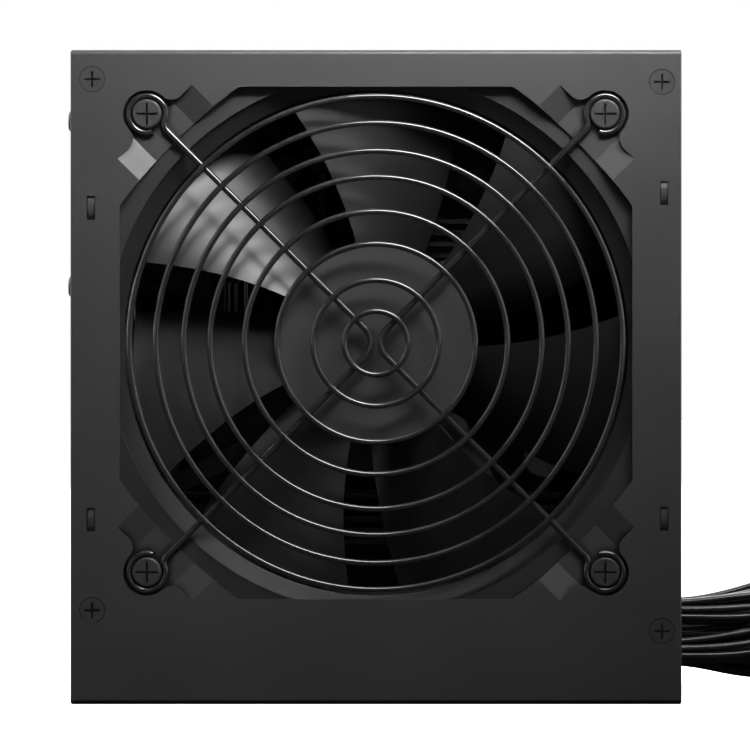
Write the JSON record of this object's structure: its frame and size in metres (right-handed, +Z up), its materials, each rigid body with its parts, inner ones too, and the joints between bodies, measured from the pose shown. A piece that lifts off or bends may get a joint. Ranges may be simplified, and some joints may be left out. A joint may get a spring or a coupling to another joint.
{
  "type": "power supply unit",
  "caption": "Boxed computer power supply: fan behind a wire guard, vented wall with mains inlet and rocker switch, and fixed cables coiled at its side with their connectors.",
  "frame": {"origin": "middle of the narrow side the case stands on", "axes": "+X from the mains inlet wall to the cable wall, +Y from the fan face to the back panel, +Z up"},
  "size_m": [0.3103, 0.1385, 0.15],
  "materials": {
    "case_coat": "satin black powder coat",
    "black_screw": "black oxide",
    "guard_wire": "gloss black coat",
    "fan_plastic": "smooth moulded",
    "steel": "plain",
    "zinc_steel": "zinc plated",
    "ferrite": "sintered ferrite",
    "bronze": "plain",
    "copper": "enamelled copper",
    "black_plastic": "moulded",
    "rocker_plastic": "smooth moulded",
    "brass_pin": "plated",
    "board": "dark solder mask",
    "liner": "smoky sheet",
    "can_sleeve": "shrink sleeve",
    "small_can": "shrink sleeve",
    "winding_tape": "dark polyester tape",
    "coil_wire": "dark enamelled copper",
    "film_block": "moulded",
    "disc_block": "dipped",
    "heatsink_metal": "black anodised extrusion",
    "package": "moulded",
    "fuse_glass": "clear",
    "wire_sleeve": "soft insulation",
    "white_plug": "moulded"
  },
  "bodies": {
    "case": {"fan_cover": "case_coat", "chassis": "case_coat", "case_screws": "black_screw", "fan_screws": "black_screw", "guard_rings": "guard_wire", "guard_spoke_left": "guard_wire", "guard_spoke_right": "guard_wire", "fan_frame": "fan_plastic", "fan_bearing": "bronze", "fan_stator": "steel", "stator_coils": "copper", "fan_circuit": "board", "inlet_body": "black_plastic", "inlet_pins": "brass_pin", "inlet_screws": "black_screw", "switch_bezel": "black_plastic", "circuit_board": "board", "board_standoffs": "zinc_steel", "board_screws": "zinc_steel", "insulator_sheet": "liner", "bulk_capacitor": "can_sleeve", "output_capacitors": "small_can", "transformer_core": "ferrite", "transformer_winding": "winding_tape", "standby_transformer_core": "ferrite", "standby_transformer_winding": "winding_tape", "output_choke": "coil_wire", "pfc_choke": "coil_wire", "emi_choke": "coil_wire", "x_capacitors": "film_block", "y_capacitors": "disc_block", "fuse": "fuse_glass", "primary_heatsink": "heatsink_metal", "secondary_heatsink": "heatsink_metal", "power_transistors": "package", "bridge_rectifier": "package", "output_rectifiers": "package", "controller_board": "board", "inlet_wires": "wire_sleeve", "fan_lead": "wire_sleeve", "fan_plug": "white_plug", "cable_grommet": "black_plastic", "board_leads": "wire_sleeve", "main_cable": "wire_sleeve", "processor_cable": "wire_sleeve", "graphics_cable": "wire_sleeve", "drive_cable": "wire_sleeve", "main_connector": "black_plastic", "processor_connector": "black_plastic", "graphics_connector": "black_plastic", "drive_connector": "black_plastic", "cable_ties": "black_plastic"},
    "fan_rotor": {"fan_rotor": "fan_plastic", "rotor_yoke": "steel", "rotor_magnet": "ferrite", "rotor_shaft": "steel"},
    "switch_rocker": {"switch_rocker": "rocker_plastic"}
  },
  "joints": [
    {"name": "fan_spin", "type": "hinge", "parent": "case", "child": "fan_rotor", "pos_m": [0, -0.03, 0.0828], "axis": [0, -1, 0], "continuous": true},
    {"name": "rocker_tilt", "type": "hinge", "parent": "case", "child": "switch_rocker", "pos_m": [-0.067, 0.012, 0.075], "axis": [0, 1, 0], "range_deg": [-20, 0]}
  ]
}
